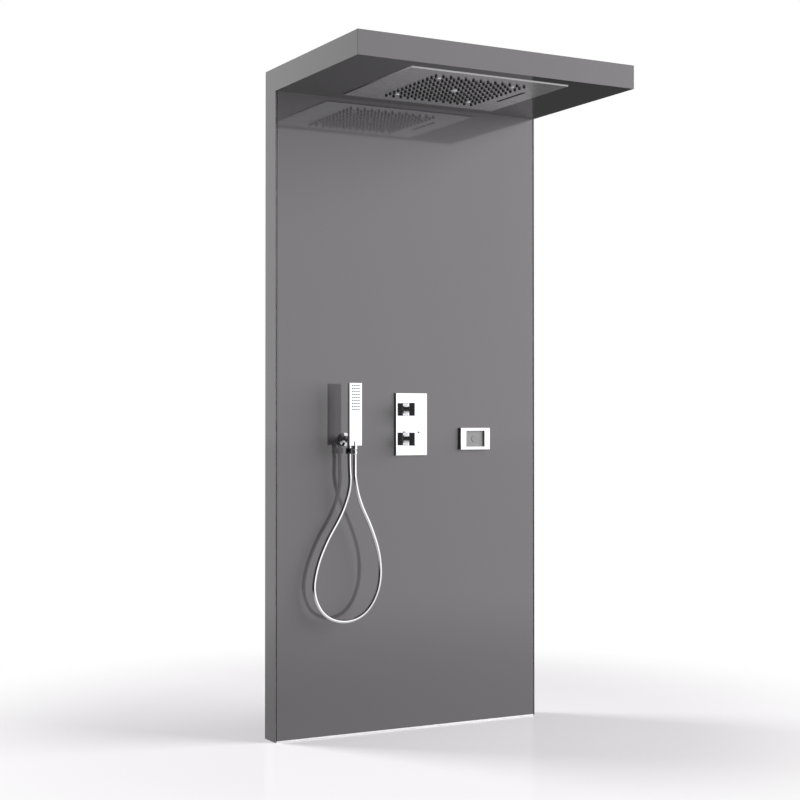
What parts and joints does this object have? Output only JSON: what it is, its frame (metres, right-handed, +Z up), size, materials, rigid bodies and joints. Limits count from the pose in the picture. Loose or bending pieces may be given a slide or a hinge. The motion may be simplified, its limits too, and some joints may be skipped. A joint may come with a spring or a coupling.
{
  "type": "concealed shower set",
  "caption": "Free shower panel with a canopy: rain and waterfall head, thermostatic mixer with square knobs, keypad and hand shower on a hose, pipes concealed inside.",
  "frame": {"origin": "on the wall plane at floor level, in the middle of the panel's back", "axes": "+X to the right seen from the room, +Y into the wall, +Z up"},
  "size_m": [1, 0.66, 2.18],
  "materials": {
    "grey_lacquer": "smooth glossy grey lacquer",
    "chrome": "bright polished chrome",
    "brushed_steel": "fine brushed stainless steel",
    "zinc_steel": "zinc-coated sheet steel",
    "aluminium": "mill-finish aluminium",
    "brass": "machined brass",
    "copper": "drawn copper pipe",
    "black_silicone": "matte black silicone",
    "grey_plastic": "fine-textured grey plastic",
    "pale_plastic": "smooth pale plastic",
    "circuit": "green circuit board",
    "black_cable": "black cable sheath",
    "clear_lens": "clear cast lens"
  },
  "bodies": {
    "panel": {"front_panel": "grey_lacquer", "left_cheek": "grey_lacquer", "right_cheek": "grey_lacquer", "canopy_underside": "grey_lacquer", "canopy_fascia": "grey_lacquer", "canopy_top": "grey_lacquer", "back_board": "zinc_steel", "base_plate": "zinc_steel", "corner_brackets": "zinc_steel", "frame_bolts": "zinc_steel", "head_box": "zinc_steel", "button_spring": "zinc_steel", "frame_posts": "aluminium", "cross_rails": "aluminium", "canopy_arms": "aluminium", "canopy_front_rail": "aluminium", "light_modules": "aluminium", "head_plate": "brushed_steel", "head_screws": "brushed_steel", "rain_chamber": "brushed_steel", "waterfall_chamber": "brushed_steel", "nozzle_mat": "black_silicone", "mixer_gasket": "black_silicone", "light_lenses": "clear_lens", "rain_elbow": "brass", "mixer_body": "brass", "cartridge_nuts": "brass", "stop_valves": "brass", "inlet_pipes": "copper", "rain_pipe": "copper", "waterfall_pipe": "copper", "handset_pipe": "copper", "mixer_plate": "chrome", "knob_bezels": "chrome", "outlet_body": "chrome", "holder_hook": "chrome", "wall_hose_nut": "chrome", "shower_hose": "chrome", "keypad_frame": "chrome", "keypad_pad": "grey_plastic", "mixer_box": "grey_plastic", "keypad_box": "grey_plastic", "light_driver": "grey_plastic", "cable_gland": "grey_plastic", "temp_cartridge": "pale_plastic", "flow_cartridge": "pale_plastic", "keypad_board": "circuit", "control_cable": "black_cable", "light_cable": "black_cable"},
    "temp_knob": {"temp_knob": "chrome", "temp_spindle": "brass", "stop_spring": "zinc_steel"},
    "stop_button": {"stop_button": "chrome"},
    "flow_knob": {"flow_knob": "chrome", "flow_spindle": "brass"},
    "light_button": {"light_button": "grey_plastic"},
    "handset": {"handset_body": "chrome", "handset_face": "chrome", "handset_nozzles": "black_silicone", "handset_hose_nut": "chrome"}
  },
  "joints": [
    {"name": "flow_turn", "type": "hinge", "parent": "panel", "child": "flow_knob", "pos_m": [0, -0.11, 1.075], "axis": [0, -1, 0], "range_deg": [0, 270]},
    {"name": "temp_turn", "type": "hinge", "parent": "panel", "child": "temp_knob", "pos_m": [0, -0.11, 0.975], "axis": [0, -1, 0], "range_deg": [-180, 60]},
    {"name": "stop_press", "type": "slide", "parent": "temp_knob", "child": "stop_button", "axis": [0, 0, -1], "range_m": [0, 0.0025], "stiffness_N_per_m": 600, "deforming": ["stop_spring"]},
    {"name": "light_press", "type": "slide", "parent": "panel", "child": "light_button", "axis": [0, 1, 0], "range_m": [0, 0.0012], "stiffness_N_per_m": 600, "deforming": ["button_spring"]},
    {"name": "handset_lift", "type": "slide", "parent": "panel", "child": "handset", "axis": [0, 0, 1], "range_m": [0, 0.045], "deforming": ["shower_hose"]}
  ]
}
